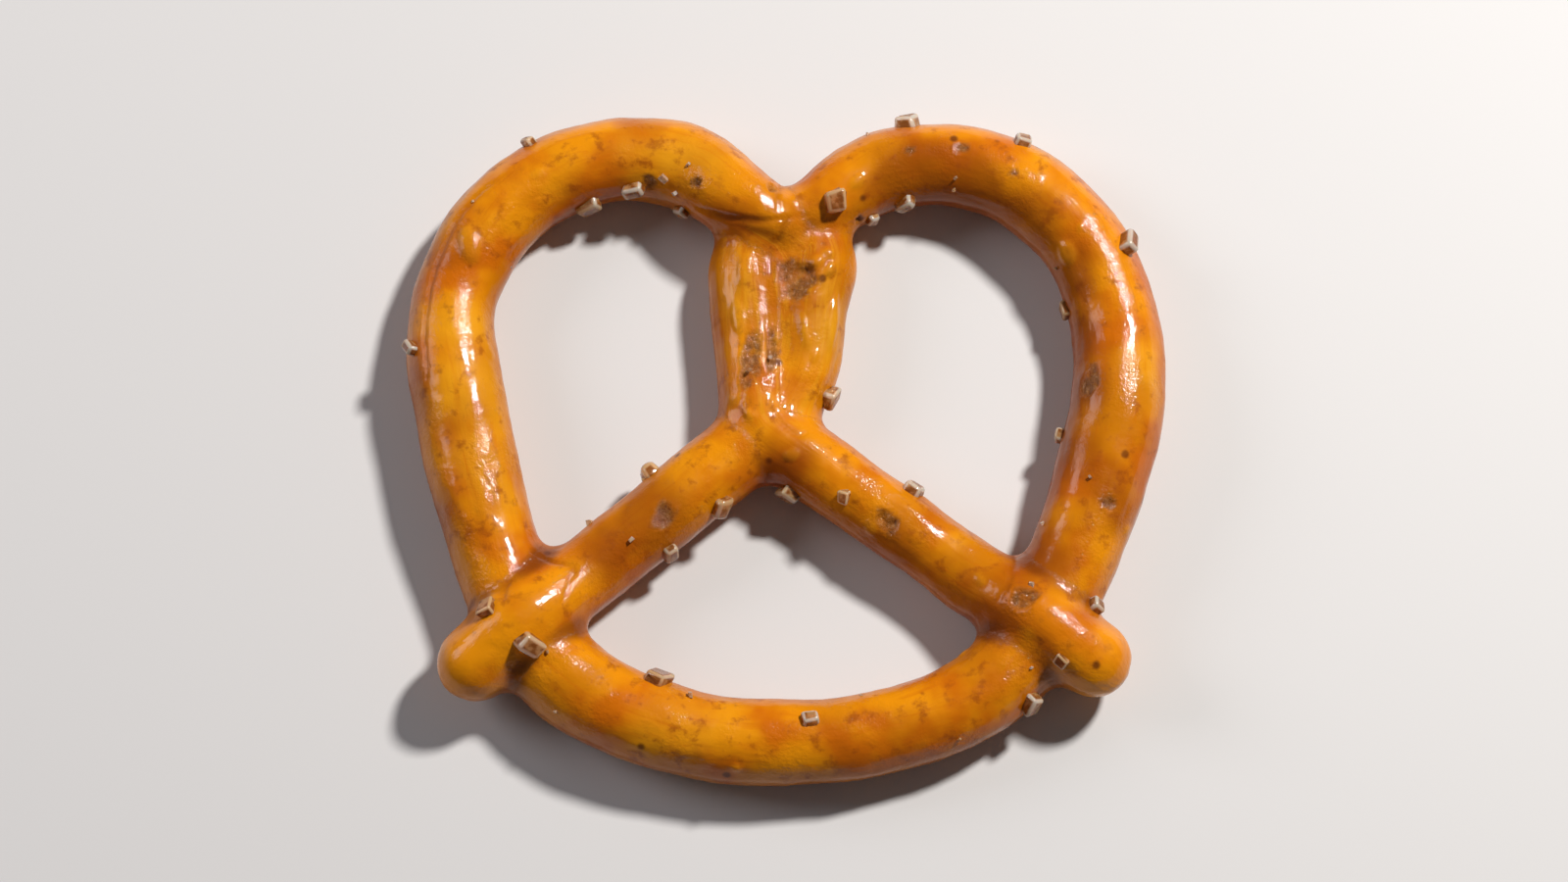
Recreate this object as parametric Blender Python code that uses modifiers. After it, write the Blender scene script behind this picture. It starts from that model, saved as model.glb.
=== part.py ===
"""A small hard baked pretzel with coarse salt, lying flat with its crossed side up.

One dough rope makes the whole pretzel. It runs along the belly, up both sides and over the two
lobes, crosses itself at the dip, runs down as two strands side by side, crosses again at the
crotch, and its two ends lie over the belly and stick out past it as round knobs.

Units are metres. +Z is up, +Y points from the belly to the lobes, and the origin is under the
middle of the pretzel, on the surface that it lies on.
"""

import math
import random

import bmesh
import bpy
from mathutils import Matrix, Vector
from mathutils.bvhtree import BVHTree

MM = 0.001

# Driving sizes of the rope's middle line, seen from above. y = 0 is 24 mm below the lobes' tops.
LOBE_X = 10.9 * MM  # middle of a lobe, from the pretzel's axis
LOBE_Y = 7.1 * MM
LOBE_RX = 13.0 * MM  # the lobe is part of an ellipse
LOBE_RY = 13.7 * MM
LOBE_UNEVEN = 0.2 * MM  # the right lobe is this much lower than the middle of both, the left higher
RIGHT_SWING = 0.8 * MM  # the right lobe swings out this much further than the left, low on its side
BELLY_Y = -11.0 * MM  # the belly is the lower part of a wider ellipse
BELLY_RX = 18.8 * MM
BELLY_RY = 11.0 * MM
SHOULDER = Vector((3.6, 17.8)) * MM  # where a lobe's rope turns down to the dip
DIP_HALF_X = 0.9 * MM  # a rope's place on its own side of the axis, just before the dip
DIP_Y = 16.1 * MM
STRAND_TOP_Y = 13.4 * MM  # where the two strands lie furthest apart
STRAND_GAP = 2.5 * MM  # from the axis to the middle of a strand there
UNDER_SPREADS = (0.94, 0.72, 0.36)  # what is left of that gap further down, on the left strand
OVER_SPREADS = (0.76, 0.74, 0.46)  # and on the right one
CROSSING = Vector((-1.5, 0.9)) * MM  # lower crossing, left of the axis
CORNER_X = 18.4 * MM  # where the arms pass over the middle of the belly's rope
CORNER_Y = -13.7 * MM
KNOB_REACH = 4.2 * MM  # from there to the middle of the round end

# Thickness of the rope along its way.
BELLY_THICK = 6.2 * MM
LOBE_THICK = 6.2 * MM
SIDE_SWELL = 0.8 * MM  # the rope is this much thicker low on a lobe's outer side
SHOULDER_THICK = 5.6 * MM
DIP_THICK = 4.4 * MM
STRAND_THICK = 5.5 * MM
ARM_THICK = 5.3 * MM
ARM_SWELL = 0.5 * MM  # the left arm is this much thicker in its upper half
ARM_BOW = 0.3 * MM  # and lies this much nearer to the belly there
KNOB_THICK = 5.6 * MM
THICKNESS_SWING = 0.04  # hand-laid dough is this much thicker and thinner, as a share

# How far the rope is lifted off the oven belt where it passes over itself.
DIP_LIFT = 2.3 * MM
DIP_LIFT_BELOW = 1.3 * MM  # the rope that passes below at the dip rides up on the strands too
CROSSING_LIFT = 0.6 * MM
ARM_LIFT = 0.4 * MM
CORNER_LIFT = 2.3 * MM
KNOB_LIFT = 1.3 * MM
FLAT = 0.35 * MM  # depth by which the belt flattens the underside
FUSE = 0.8 * MM  # radius to which the dough runs together in a crease

# The dough pressed into the groove between the two strands of the column.
FILLING_SPAN = (0.0, 0.75)  # from and to, as shares of the way from the strands' top to the crossing
FILLING_THICK = 3.8 * MM
FILLING_HEIGHT = 3.0 * MM
FILLING_STEPS = 8

# Salt.
SALT_SEED = 4
SALT_COUNT = 22  # grains tried beside those that have a place of their own
SALT_SIZE = (1.2 * MM, 2.3 * MM)  # smallest and largest of them
SALT_SUNK = 0.42  # share of a grain's thickness that is baked into the crust
SALT_CLEARANCE = 2.8 * MM  # least distance between the middles of two grains
SALT_SPREAD = math.radians(72)  # furthest that a grain lies down the rope's side, from its top
BARE_ABOVE_Y = -9.5 * MM  # beyond this, the spread grains lie on the rope's flanks only
BARE_HALF_X = 5.5 * MM  # and none lie on the column or at the dip
FLANK = math.radians(48)  # the flanks start at this angle from the rope's top
GOLDEN_SHARE = 0.618034  # steps of this share of the rope spread the grains evenly
# The grains that catch the eye, as x, y and length in millimetres: round the dip, on the column's
# edges, along the arms and on the loops' inner sides.
CLEAR_GRAINS = (
    (3.8, 16.9, 2.0),
    (8.9, 17.5, 1.9),
    (6.6, 16.2, 1.4),
    (-7.6, 16.4, 1.7),
    (-14.0, 17.3, 2.2),
    (4.4, 2.7, 2.0),
    (0.2, -4.6, 1.9),
    (4.3, -4.8, 1.4),
    (-9.8, -2.2, 2.3),
    (-8.0, -8.4, 1.8),
    (19.4, 9.3, 1.5),
    (19.8, 0.1, 1.6),
    (22.0, -12.6, 1.6),
)

# Fineness of the mesh.
STEPS_PER_SPAN = 8
CAP_STEPS = 4
VOXEL = 0.4 * MM
SMOOTH_STEPS = 6
SHARE_OF_FACES_KEPT = 0.125


def clear_scene():
    for obj in list(bpy.data.objects):
        bpy.data.objects.remove(obj)


def collection(name):
    made = bpy.data.collections.new(name)
    bpy.context.scene.collection.children.link(made)
    return made


def station(x, y, thickness, lift=0.0):
    """One point of the rope's way: its middle, at the height at which the rope lies on the belt
    plus the lift, and its radius."""
    radius = thickness / 2
    return Vector((x, y, radius - FLAT + lift, radius))


def half_way(side, over_at_dip):
    """The stations of one half of the rope, from the belly's middle to the knob. side is -1 for
    the half that makes the left lobe and 1 for the right one."""
    stations = []
    for degrees in (-90, -65, -40, -14):
        a = math.radians(degrees)
        x, y = BELLY_RX * math.cos(a), BELLY_Y + BELLY_RY * math.sin(a)
        stations.append(station(side * x, y, BELLY_THICK))
    for degrees in (-20, 10, 36, 62, 88, 110):
        a = math.radians(degrees)
        x, y = LOBE_X + LOBE_RX * math.cos(a), LOBE_Y + LOBE_RY * math.sin(a)
        thickness = LOBE_THICK
        if degrees == -20:
            thickness += SIDE_SWELL
            x += RIGHT_SWING * max(0, side)
        stations.append(station(side * x, y - side * LOBE_UNEVEN, thickness))

    # Both ropes ride up to the dip and dive from it into the column.
    lift = DIP_LIFT if over_at_dip else DIP_LIFT_BELOW
    stations.append(station(side * SHOULDER.x, SHOULDER.y, SHOULDER_THICK, 0.6 * lift))
    stations.append(station(side * DIP_HALF_X, DIP_Y, DIP_THICK, lift))
    middle_y = (DIP_Y + STRAND_TOP_Y) / 2
    stations.append(station(-side * 0.7 * STRAND_GAP, middle_y, DIP_THICK, 0.2 * lift))

    # The strands run down side by side and draw together at the crossing.
    top = Vector((-side * STRAND_GAP, STRAND_TOP_Y))
    stations.append(station(*top, STRAND_THICK))
    lift = 0 if over_at_dip else CROSSING_LIFT
    spreads = OVER_SPREADS if over_at_dip else UNDER_SPREADS
    for share, spread in zip((0.3, 0.6, 0.84), spreads):
        y = top.y + (CROSSING.y - top.y) * share
        x = -side * STRAND_GAP * spread + CROSSING.x * share**3
        stations.append(station(x, y, STRAND_THICK, lift * share**4))

    # The arm runs straight from the crossing, over the belly, to the knob.
    corner = Vector((side * CORNER_X, CORNER_Y))
    arm = corner - CROSSING
    knob = 1 + KNOB_REACH / arm.length
    for share in (0, 0.25, 0.5, 0.75, 1, knob):
        low = max(0, -side) * max(0, min(1, 2.5 - 4 * share))
        spot = CROSSING + arm * share + ARM_BOW * low * Vector((0.65, -0.76))
        if share == knob:
            stations.append(station(*spot, KNOB_THICK, KNOB_LIFT))
        else:
            rise = lift * max(0, 1 - 3 * share) + ARM_LIFT * min(1, 3 * share)
            rise += (CORNER_LIFT - ARM_LIFT) * max(0, 4 * share - 3)
            stations.append(station(*spot, ARM_THICK + ARM_SWELL * low, rise))
    return stations


def between(a, b, c, d, share):
    """A point between b and c on the smooth curve through a, b, c and d."""
    knots = [0.0]
    for p, q in ((a, b), (b, c), (c, d)):
        knots.append(knots[-1] + math.sqrt((q.xyz - p.xyz).length))
    t = knots[1] + (knots[2] - knots[1]) * share

    def mix(p, q, i, j):
        return p.lerp(q, (t - knots[i]) / (knots[j] - knots[i]))

    ab, bc, cd = mix(a, b, 0, 1), mix(b, c, 1, 2), mix(c, d, 2, 3)
    return mix(mix(ab, bc, 0, 2), mix(bc, cd, 1, 3), 1, 2)


def rope_points():
    """The rope's middle line as a dense list of (x, y, z, radius), from knob to knob."""
    left, right = half_way(-1, True), half_way(1, False)
    way = left[::-1] + right[1:]
    way = [2 * way[0] - way[1]] + way + [2 * way[-1] - way[-2]]
    points = []
    for a, b, c, d in zip(way, way[1:], way[2:], way[3:]):
        points += [between(a, b, c, d, k / STEPS_PER_SPAN) for k in range(STEPS_PER_SPAN)]
    points.append(way[-2].copy())
    travelled = 0.0
    for before, point in zip([points[0]] + points, points):
        travelled += (point.xyz - before.xyz).length
        swing = math.sin(travelled / (5.3 * MM)) + math.sin(travelled / (8.9 * MM) + 2)
        change = point.w * THICKNESS_SWING * swing / 2
        point.w += change
        point.z += change
    return points


def filling_points():
    """The middle line of the dough between the strands, from the column's top downwards."""
    points = []
    for k in range(FILLING_STEPS + 1):
        share = FILLING_SPAN[0] + (FILLING_SPAN[1] - FILLING_SPAN[0]) * k / FILLING_STEPS
        y = STRAND_TOP_Y + (CROSSING.y - STRAND_TOP_Y) * share
        points.append(Vector((CROSSING.x * share**3, y, FILLING_HEIGHT, FILLING_THICK / 2)))
    return points


def round_end(points):
    """The points that close the rope's last end as half a ball."""
    end = points[-1]
    ahead = (end.xyz - points[-2].xyz).normalized()
    cap = []
    for k in range(1, CAP_STEPS + 1):
        a = math.radians(88) * k / CAP_STEPS
        middle = end.xyz + ahead * end.w * math.sin(a)
        cap.append(Vector((*middle, end.w * math.cos(a))))
    return cap


def rope(ways, home):
    """The dough rope and the filling as closed tubes, still crossing each other."""
    curve = bpy.data.curves.new("rope", "CURVE")
    curve.dimensions = "3D"
    curve.bevel_depth = 1.0
    curve.bevel_resolution = 6
    curve.use_fill_caps = True
    for points in ways:
        line = round_end(points[::-1])[::-1] + points + round_end(points)
        spline = curve.splines.new("POLY")
        spline.points.add(len(line) - 1)
        for target, point in zip(spline.points, line):
            target.co = (*point.xyz, 1)
            target.radius = point.w
    guide = bpy.data.objects.new("rope", curve)
    home.objects.link(guide)
    bpy.context.view_layer.update()
    graph = bpy.context.evaluated_depsgraph_get()
    mesh = bpy.data.meshes.new_from_object(guide.evaluated_get(graph))
    bpy.data.objects.remove(guide)
    shape = bmesh.new()
    shape.from_mesh(mesh)
    bmesh.ops.remove_doubles(shape, verts=shape.verts, dist=0.001 * MM)
    bmesh.ops.recalc_face_normals(shape, faces=shape.faces)
    shape.to_mesh(mesh)
    shape.free()
    dough = bpy.data.objects.new("pretzel", mesh)
    home.objects.link(dough)
    return dough


def oven_belt(home):
    """The cutter that flattens the underside where the dough lay on the belt."""
    mesh = bpy.data.meshes.new("oven_belt")
    shape = bmesh.new()
    bmesh.ops.create_cube(shape, size=1)
    bmesh.ops.scale(shape, vec=(90 * MM, 90 * MM, 6 * MM), verts=shape.verts)
    bmesh.ops.translate(shape, vec=(0, 0, -3 * MM), verts=shape.verts)
    shape.to_mesh(mesh)
    shape.free()
    belt = bpy.data.objects.new("oven_belt", mesh)
    belt.hide_render = True
    belt.display_type = "WIRE"
    home.objects.link(belt)
    return belt


def bake(dough, belt):
    """Fuses the rope into one skin. Swelling it, fusing it and drawing it in again fills the
    creases where the dough touches itself, and leaves its round sides as they were."""
    for name, distance in (("swell", FUSE), ("draw_in", -FUSE)):
        fuse = dough.modifiers.new("fuse_before_" + name, "REMESH")
        fuse.mode = "VOXEL"
        fuse.voxel_size = VOXEL
        move = dough.modifiers.new(name, "DISPLACE")
        move.mid_level = 0.0
        move.strength = distance
    refine = dough.modifiers.new("even_out", "REMESH")
    refine.mode = "VOXEL"
    refine.voxel_size = VOXEL
    soften = dough.modifiers.new("soften", "SMOOTH")
    soften.factor = 0.5
    soften.iterations = SMOOTH_STEPS
    thin = dough.modifiers.new("thin_out", "DECIMATE")
    thin.ratio = SHARE_OF_FACES_KEPT
    flatten = dough.modifiers.new("flatten", "BOOLEAN")
    flatten.operation = "DIFFERENCE"
    flatten.solver = "EXACT"
    flatten.object = belt
    apply_modifiers(dough)


def apply_modifiers(obj):
    bpy.context.view_layer.update()
    graph = bpy.context.evaluated_depsgraph_get()
    mesh = bpy.data.meshes.new_from_object(obj.evaluated_get(graph))
    obj.modifiers.clear()
    obj.data = mesh


def crystal(number, size, point, out, turned, home):
    """One blocky salt crystal with worn corners, on the crust at point, which faces out. Each
    corner of a box gives two points, and the hull of all of them is the grain."""
    name = f"grain_{number:02d}"
    draw = random.Random(number)
    half = Vector((0.5, draw.uniform(0.32, 0.46), draw.uniform(0.24, 0.34))) * size
    mesh = bpy.data.meshes.new(name)
    shape = bmesh.new()
    for k in range(8):
        corner = Vector((half.x * (-1 + 2 * (k & 1)), half.y * (-1 + (k & 2)), half.z))
        corner.z *= -1 + (k & 4) / 2
        for axis in range(2):
            worn = corner * draw.uniform(0.86, 1)
            worn[axis] *= draw.uniform(0.5, 0.75)
            shape.verts.new(worn)
    bmesh.ops.convex_hull(shape, input=shape.verts)
    loose = [v for v in shape.verts if not v.link_faces]
    bmesh.ops.delete(shape, geom=loose, context="VERTS")
    bmesh.ops.recalc_face_normals(shape, faces=shape.faces)
    turn = Matrix.Rotation(turned, 4, "Z")
    lean = out.to_track_quat("Z", "Y").to_matrix().to_4x4()
    middle = point + out * half.z * (1 - 2 * SALT_SUNK)
    bmesh.ops.transform(shape, matrix=Matrix.Translation(middle) @ lean @ turn, verts=shape.verts)
    shape.to_mesh(mesh)
    shape.free()
    home.objects.link(bpy.data.objects.new(name, mesh))


def salt(dough, points, home):
    """Sets the grains that have a place of their own, and then spreads the rest over the top and
    the sides of the rope, the largest first."""
    skin = BVHTree.FromPolygons(
        [v.co for v in dough.data.vertices], [p.vertices for p in dough.data.polygons]
    )
    draw = random.Random(SALT_SEED)
    placed = []

    def set_down(hit, normal, size):
        crystal(len(placed), size, hit, normal, draw.uniform(0, math.tau), home)
        placed.append(hit)

    for x, y, size in CLEAR_GRAINS:
        hit, normal, _, _ = skin.ray_cast(Vector((x, y, 20)) * MM, Vector((0, 0, -1)))
        if hit is None:  # beside the rope, so the grain is on its side
            hit, normal, _, _ = skin.find_nearest(Vector((x, y, 3)) * MM)
        set_down(hit, normal, size * MM)
    for k in range(SALT_COUNT):
        size = SALT_SIZE[1] + (SALT_SIZE[0] - SALT_SIZE[1]) * k / (SALT_COUNT - 1)
        for _ in range(12):
            along = (k * GOLDEN_SHARE + draw.uniform(-0.02, 0.02)) % 1
            i = 1 + int(along * (len(points) - 2))
            ahead = (points[i + 1].xyz - points[i - 1].xyz).normalized()
            across = ahead.cross(Vector((0, 0, 1))).normalized()
            up = across.cross(ahead)
            a = SALT_SPREAD * draw.uniform(-1, 1)
            if points[i].y > BARE_ABOVE_Y and (abs(a) < FLANK or abs(points[i].x) < BARE_HALF_X):
                continue
            out = up * math.cos(a) + across * math.sin(a)
            hit, normal, _, _ = skin.ray_cast(points[i].xyz + out * 4 * points[i].w, -out)
            if hit and normal.z > 0 and all((hit - q).length > SALT_CLEARANCE for q in placed):
                set_down(hit, normal, size)
                break


def fuse_salt(dough, grains):
    """Joins the grains to the crust and removes their own objects."""
    join = dough.modifiers.new("salt", "BOOLEAN")
    join.operation = "UNION"
    join.solver = "EXACT"
    join.operand_type = "COLLECTION"
    join.collection = grains
    apply_modifiers(dough)
    for obj in list(grains.objects):
        bpy.data.objects.remove(obj)
    bpy.data.collections.remove(grains)


def centre(dough):
    """Puts the origin under the middle of the finished pretzel."""
    corners = [v.co for v in dough.data.vertices]
    low = Vector([min(c[i] for c in corners) for i in range(3)])
    high = Vector([max(c[i] for c in corners) for i in range(3)])
    middle = (low + high) / 2
    print(f"the middle is at {middle.x / MM:.2f}, {middle.y / MM:.2f} mm")
    dough.data.transform(Matrix.Translation((-middle.x, -middle.y, -low.z)))


def crust_material():
    material = bpy.data.materials.new("pretzel_crust")
    material.use_nodes = True
    shader = material.node_tree.nodes["Principled BSDF"]
    shader.inputs["Base Color"].default_value = (0.50, 0.16, 0.015, 1)
    shader.inputs["Roughness"].default_value = 0.25
    shader.inputs["Metallic"].default_value = 0.0
    return material


def main():
    clear_scene()
    home = collection("pretzel")
    tools = collection("cutters")
    grains = collection("salt")
    points = rope_points()
    dough = rope((points, filling_points()), home)
    bake(dough, oven_belt(tools))
    salt(dough, points, grains)
    fuse_salt(dough, grains)
    centre(dough)
    dough.data.materials.clear()
    dough.data.materials.append(crust_material())
    dough.data.shade_smooth()
    dough.data.set_sharp_from_angle(angle=math.radians(50))


main()
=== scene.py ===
# %% [markdown]
# # A small salted pretzel
#
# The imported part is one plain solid: a dough rope that crosses itself, with blocks of salt on it.
# This script makes what that solid stands for, a glossy baked crust with blisters and scars, and
# real salt on top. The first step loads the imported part, which says where everything is.

# %% Load the frame
import math
import random

import bmesh
import bpy
import numpy as np
from mathutils import Euler, Matrix, Vector, noise
from mathutils.bvhtree import BVHTree
from mathutils.kdtree import KDTree


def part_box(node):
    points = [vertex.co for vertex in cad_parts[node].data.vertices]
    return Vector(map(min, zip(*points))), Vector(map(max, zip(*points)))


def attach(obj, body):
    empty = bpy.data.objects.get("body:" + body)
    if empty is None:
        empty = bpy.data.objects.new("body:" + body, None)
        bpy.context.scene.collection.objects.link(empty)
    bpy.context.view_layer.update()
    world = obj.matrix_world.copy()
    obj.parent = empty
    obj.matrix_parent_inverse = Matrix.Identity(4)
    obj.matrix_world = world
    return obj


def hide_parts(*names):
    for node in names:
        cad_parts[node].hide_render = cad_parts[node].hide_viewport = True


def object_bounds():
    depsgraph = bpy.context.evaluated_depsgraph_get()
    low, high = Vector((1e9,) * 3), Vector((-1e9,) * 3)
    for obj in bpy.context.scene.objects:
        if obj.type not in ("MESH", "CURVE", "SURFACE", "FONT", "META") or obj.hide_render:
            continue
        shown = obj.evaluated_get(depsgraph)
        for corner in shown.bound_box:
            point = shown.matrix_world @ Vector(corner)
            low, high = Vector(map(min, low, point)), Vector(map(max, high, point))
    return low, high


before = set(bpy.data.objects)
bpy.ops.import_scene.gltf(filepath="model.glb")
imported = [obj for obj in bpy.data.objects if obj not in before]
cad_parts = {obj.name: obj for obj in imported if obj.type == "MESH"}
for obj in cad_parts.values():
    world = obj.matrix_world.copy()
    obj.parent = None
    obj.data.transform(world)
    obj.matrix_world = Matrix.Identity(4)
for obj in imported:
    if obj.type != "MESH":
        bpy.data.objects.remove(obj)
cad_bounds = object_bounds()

MM = 0.001
UP = Vector((0, 0, 1))


def in_mm(box):
    return [[round(v / MM, 1) for v in corner] for corner in box]


print("the solid's box in mm:", in_mm(cad_bounds))

# %% [markdown]
# ## The way of the rope
#
# A pretzel is one rope of dough. Seen from above, the belly is the lower part of a wide ellipse
# and each lobe is part of a smaller one. The two halves of the rope cross at the dip between the
# lobes, run down side by side as the column, cross once more, and end as two straight arms that
# lie over the belly.
#
# A list of hand-placed points would give the same picture, but named sizes are easier to change.

# %% Sizes seen from above
LOBE_X = 10.9 * MM  # middle of a lobe, from the pretzel's axis
LOBE_Y = 7.1 * MM
LOBE_RX = 13.0 * MM
LOBE_RY = 13.7 * MM
LOBE_UNEVEN = 0.2 * MM  # the right lobe is this much lower, and the left one higher
RIGHT_SWING = 0.8 * MM  # the right lobe swings out this much further, low on its side
BELLY_Y = -11.0 * MM
BELLY_RX = 18.8 * MM
BELLY_RY = 11.0 * MM
SHOULDER = Vector((3.6, 17.8)) * MM  # where a lobe's rope turns down to the dip
DIP_HALF_X = 0.9 * MM
DIP_Y = 16.1 * MM
STRAND_TOP_Y = 13.4 * MM  # where the two strands of the column lie furthest apart
STRAND_GAP = 2.5 * MM  # from the axis to the middle of a strand there
UNDER_SPREADS = (0.94, 0.72, 0.36)  # what is left of the gap further down, on the left strand
OVER_SPREADS = (0.76, 0.74, 0.46)  # and on the right one
CROSSING = Vector((-1.5, 0.9)) * MM  # the lower crossing
CORNER_X = 18.4 * MM  # where the arms pass over the middle of the belly's rope
CORNER_Y = -13.7 * MM
KNOB_REACH = 4.2 * MM  # from there to the middle of the round end
print(f"the lobes reach {(LOBE_X + LOBE_RX) / MM:.1f} mm from the axis")

# %% [markdown]
# ## Thickness and height
#
# The rope is thinner where it was pulled and thicker where it lay loose. It lies on the oven belt,
# so its middle is one radius up, plus a lift where it passes over itself.

# %% Thickness and lift along the rope
BELLY_THICK = 6.2 * MM
LOBE_THICK = 6.2 * MM
SIDE_SWELL = 0.8 * MM  # more, low on a lobe's outer side
SHOULDER_THICK = 5.6 * MM
DIP_THICK = 4.4 * MM
STRAND_THICK = 5.5 * MM
ARM_THICK = 5.3 * MM
ARM_SWELL = 0.5 * MM  # more, in the left arm's upper half
ARM_BOW = 0.3 * MM  # and nearer to the belly there
KNOB_THICK = 5.6 * MM

DIP_LIFT = 2.3 * MM
DIP_LIFT_BELOW = 1.3 * MM  # the rope that passes below rides up on the strands too
CROSSING_LIFT = 0.6 * MM
ARM_LIFT = 0.4 * MM
CORNER_LIFT = 2.3 * MM
KNOB_LIFT = 1.3 * MM
FLAT = 0.35 * MM  # depth by which the belt flattens the underside
print(f"the rope is {DIP_THICK / MM:.1f} to {(LOBE_THICK + SIDE_SWELL) / MM:.1f} mm thick")

# %% [markdown]
# ## Stations
#
# The way is marked by stations, a few on each bend. A station holds four numbers: x, y, the height
# of the rope's middle, and its radius. Both halves of the rope use the same functions, with a side
# of -1 for the left lobe and 1 for the right, so that they can't drift apart.

# %% Stations of one half of the rope
BELLY_DEGREES = (-90, -65, -40, -14)
LOBE_DEGREES = (-20, 10, 36, 62, 88, 110)  # the first is low on the outer side
SHOULDER_LIFT = 0.6  # share of the dip's lift
AFTER_DIP_X = 0.7  # share of the strands' gap
AFTER_DIP_LIFT = 0.2
STRAND_SHARES = (0.3, 0.6, 0.84)  # of the way down the column
ARM_SHARES = (0, 0.25, 0.5, 0.75, 1)  # of the way from the crossing to the corner
BOW_WAY = Vector((0.65, -0.76))  # square to the left arm, towards the belly


def station(x, y, thickness, lift=0.0):
    radius = thickness / 2
    return Vector((x, y, radius - FLAT + lift, radius))


def belly_and_lobe(side):
    stations = []
    for a in map(math.radians, BELLY_DEGREES):
        x, y = BELLY_RX * math.cos(a), BELLY_Y + BELLY_RY * math.sin(a)
        stations.append(station(side * x, y, BELLY_THICK))
    for degrees in LOBE_DEGREES:
        a = math.radians(degrees)
        x, y = LOBE_X + LOBE_RX * math.cos(a), LOBE_Y + LOBE_RY * math.sin(a)
        thickness = LOBE_THICK
        if degrees == LOBE_DEGREES[0]:
            thickness += SIDE_SWELL
            x += RIGHT_SWING * max(0, side)
        stations.append(station(side * x, y - side * LOBE_UNEVEN, thickness))
    return stations


def dip_and_strand(side, dip_lift, spreads, crossing_lift):
    after_dip = (-side * AFTER_DIP_X * STRAND_GAP, (DIP_Y + STRAND_TOP_Y) / 2)
    top = Vector((-side * STRAND_GAP, STRAND_TOP_Y))
    stations = [
        station(side * SHOULDER.x, SHOULDER.y, SHOULDER_THICK, SHOULDER_LIFT * dip_lift),
        station(side * DIP_HALF_X, DIP_Y, DIP_THICK, dip_lift),
        station(*after_dip, DIP_THICK, AFTER_DIP_LIFT * dip_lift),
        station(*top, STRAND_THICK),
    ]
    for share, spread in zip(STRAND_SHARES, spreads):
        y = top.y + (CROSSING.y - top.y) * share
        x = -side * STRAND_GAP * spread + CROSSING.x * share**3
        stations.append(station(x, y, STRAND_THICK, crossing_lift * share**4))
    return stations


def arm_and_knob(side, crossing_lift):
    """The arm comes down in its first third and climbs over the belly in its last quarter."""
    arm = Vector((side * CORNER_X, CORNER_Y)) - CROSSING
    stations = []
    for share in ARM_SHARES:
        upper = max(0, -side) * max(0, min(1, 2.5 - 4 * share))
        spot = CROSSING + arm * share + ARM_BOW * upper * BOW_WAY
        lift = crossing_lift * max(0, 1 - 3 * share) + ARM_LIFT * min(1, 3 * share)
        lift += (CORNER_LIFT - ARM_LIFT) * max(0, 4 * share - 3)
        stations.append(station(*spot, ARM_THICK + ARM_SWELL * upper, lift))
    knob = CROSSING + arm * (1 + KNOB_REACH / arm.length)
    stations.append(station(*knob, KNOB_THICK, KNOB_LIFT))
    return stations


def half_way(side):
    """From the belly's middle to the knob. The left half passes over at the dip."""
    if side < 0:
        dip_lift, spreads, crossing_lift = DIP_LIFT, OVER_SPREADS, 0
    else:
        dip_lift, spreads, crossing_lift = DIP_LIFT_BELOW, UNDER_SPREADS, CROSSING_LIFT
    strand = dip_and_strand(side, dip_lift, spreads, crossing_lift)
    return belly_and_lobe(side) + strand + arm_and_knob(side, crossing_lift)


left_half, right_half = half_way(-1), half_way(1)
print(len(left_half), "stations in each half")

# %% [markdown]
# ## A smooth line
#
# A curve through the stations gives points close enough for a smooth rope. Its knots are spaced by
# the root of the distance between stations, which keeps it from looping where two of them lie
# close together. Hand-laid dough is a little thicker here and thinner there, so two slow waves
# change the radius along the way.

# %% The middle line, from knob to knob
STEPS_PER_SPAN = 8
THICKNESS_SWING = 0.04
SHORT_WAVE = 5.3 * MM
LONG_WAVE = 8.9 * MM


def between(a, b, c, d, share):
    """A point between b and c on the smooth curve through a, b, c and d."""
    knots = [0.0]
    for p, q in ((a, b), (b, c), (c, d)):
        knots.append(knots[-1] + math.sqrt((q.xyz - p.xyz).length))
    t = knots[1] + (knots[2] - knots[1]) * share

    def mix(p, q, i, j):
        return p.lerp(q, (t - knots[i]) / (knots[j] - knots[i]))

    ab, bc, cd = mix(a, b, 0, 1), mix(b, c, 1, 2), mix(c, d, 2, 3)
    return mix(mix(ab, bc, 0, 2), mix(bc, cd, 1, 3), 1, 2)


def with_ends(points):
    """The points with one more at each end, straight on, for a curve to start and end by."""
    return [2 * points[0] - points[1]] + points + [2 * points[-1] - points[-2]]


def travelled_to(points):
    """How far along the line each point lies."""
    travelled = [0.0]
    for before, point in zip(points, points[1:]):
        travelled.append(travelled[-1] + (point.xyz - before.xyz).length)
    return travelled


def rope_points():
    way = with_ends(left_half[::-1] + right_half[1:])
    points = []
    for a, b, c, d in zip(way, way[1:], way[2:], way[3:]):
        points += [between(a, b, c, d, k / STEPS_PER_SPAN) for k in range(STEPS_PER_SPAN)]
    points.append(way[-2].copy())
    travelled = 0.0
    for before, point in zip([points[0]] + points, points):
        travelled += (point.xyz - before.xyz).length
        swing = math.sin(travelled / SHORT_WAVE) + math.sin(travelled / LONG_WAVE + 2)
        change = point.w * THICKNESS_SWING * swing / 2
        point.w += change
        point.z += change
    return points


rope = rope_points()
travelled = travelled_to(rope)
print(f"{len(rope)} points along {travelled[-1] / MM:.0f} mm of rope")

# %% [markdown]
# ## Drawing the rope out
#
# The rope starts as one circle, and its rim is extruded again and again. After each extrusion
# the new ring is carried to the next point by a matrix that also turns it square to the way and
# gives it its radius there. A curve with a bevel would do the same; rings are used here because
# their sides line up, so that the mesh stays even where the way bends. The rim's edges are listed
# in their own order, each once, and not as a set, so that every run gives the same mesh.
#
# Each end closes with rings that shrink as half a ball does. A second, short tube fills the groove
# between the two strands of the column, where the dough was pressed together.

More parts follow.
